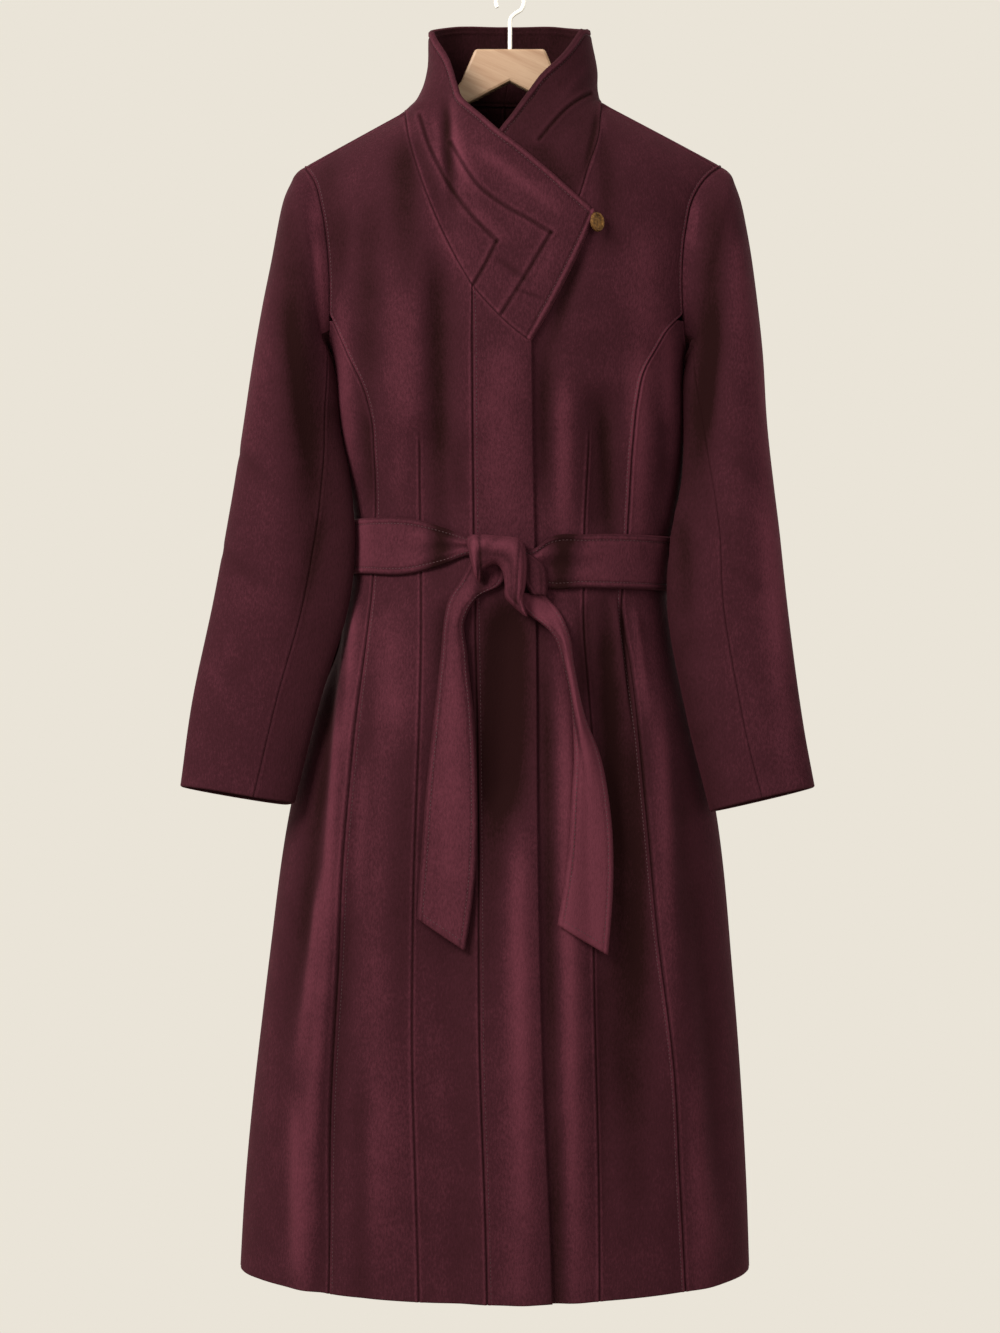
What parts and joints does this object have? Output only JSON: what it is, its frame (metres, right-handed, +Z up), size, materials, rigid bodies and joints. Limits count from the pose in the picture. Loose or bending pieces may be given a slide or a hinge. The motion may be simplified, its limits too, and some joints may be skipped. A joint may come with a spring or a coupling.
{
  "type": "belted wool coat on a wooden hanger",
  "caption": "Long belted wool coat with a tall wrap collar, princess seams, a covered front placket and set-in sleeves, hanging closed on a flat wooden hanger with a wire hook.",
  "frame": {"origin": "inside of the top of the hanger's hook, where a rod or peg carries it", "axes": "+Z up, -Y out of the coat's front, +X to the wearer's left"},
  "size_m": [0.595, 0.2399, 1.236],
  "materials": {
    "wool_melton": "brushed wool, matt with a short nap",
    "old_brass": "dull, darkened",
    "beech": "pale, satin",
    "coated_wire": "smooth white coating"
  },
  "bodies": {
    "root": {"right_front": "wool_melton", "placket": "wool_melton", "left_front": "wool_melton", "right_side_front": "wool_melton", "left_side_front": "wool_melton", "back_right": "wool_melton", "back_left": "wool_melton", "back_side_right": "wool_melton", "back_side_left": "wool_melton", "collar_right": "wool_melton", "collar_left": "wool_melton", "top_sleeve_right": "wool_melton", "under_sleeve_right": "wool_melton", "top_sleeve_left": "wool_melton", "under_sleeve_left": "wool_melton", "belt_band": "wool_melton", "belt_knot": "wool_melton", "belt_loop_under": "wool_melton", "belt_tail_right": "wool_melton", "belt_tail_left": "wool_melton", "button": "old_brass", "hanger": "beech", "hanger_hook": "coated_wire"}
  },
  "joints": []
}
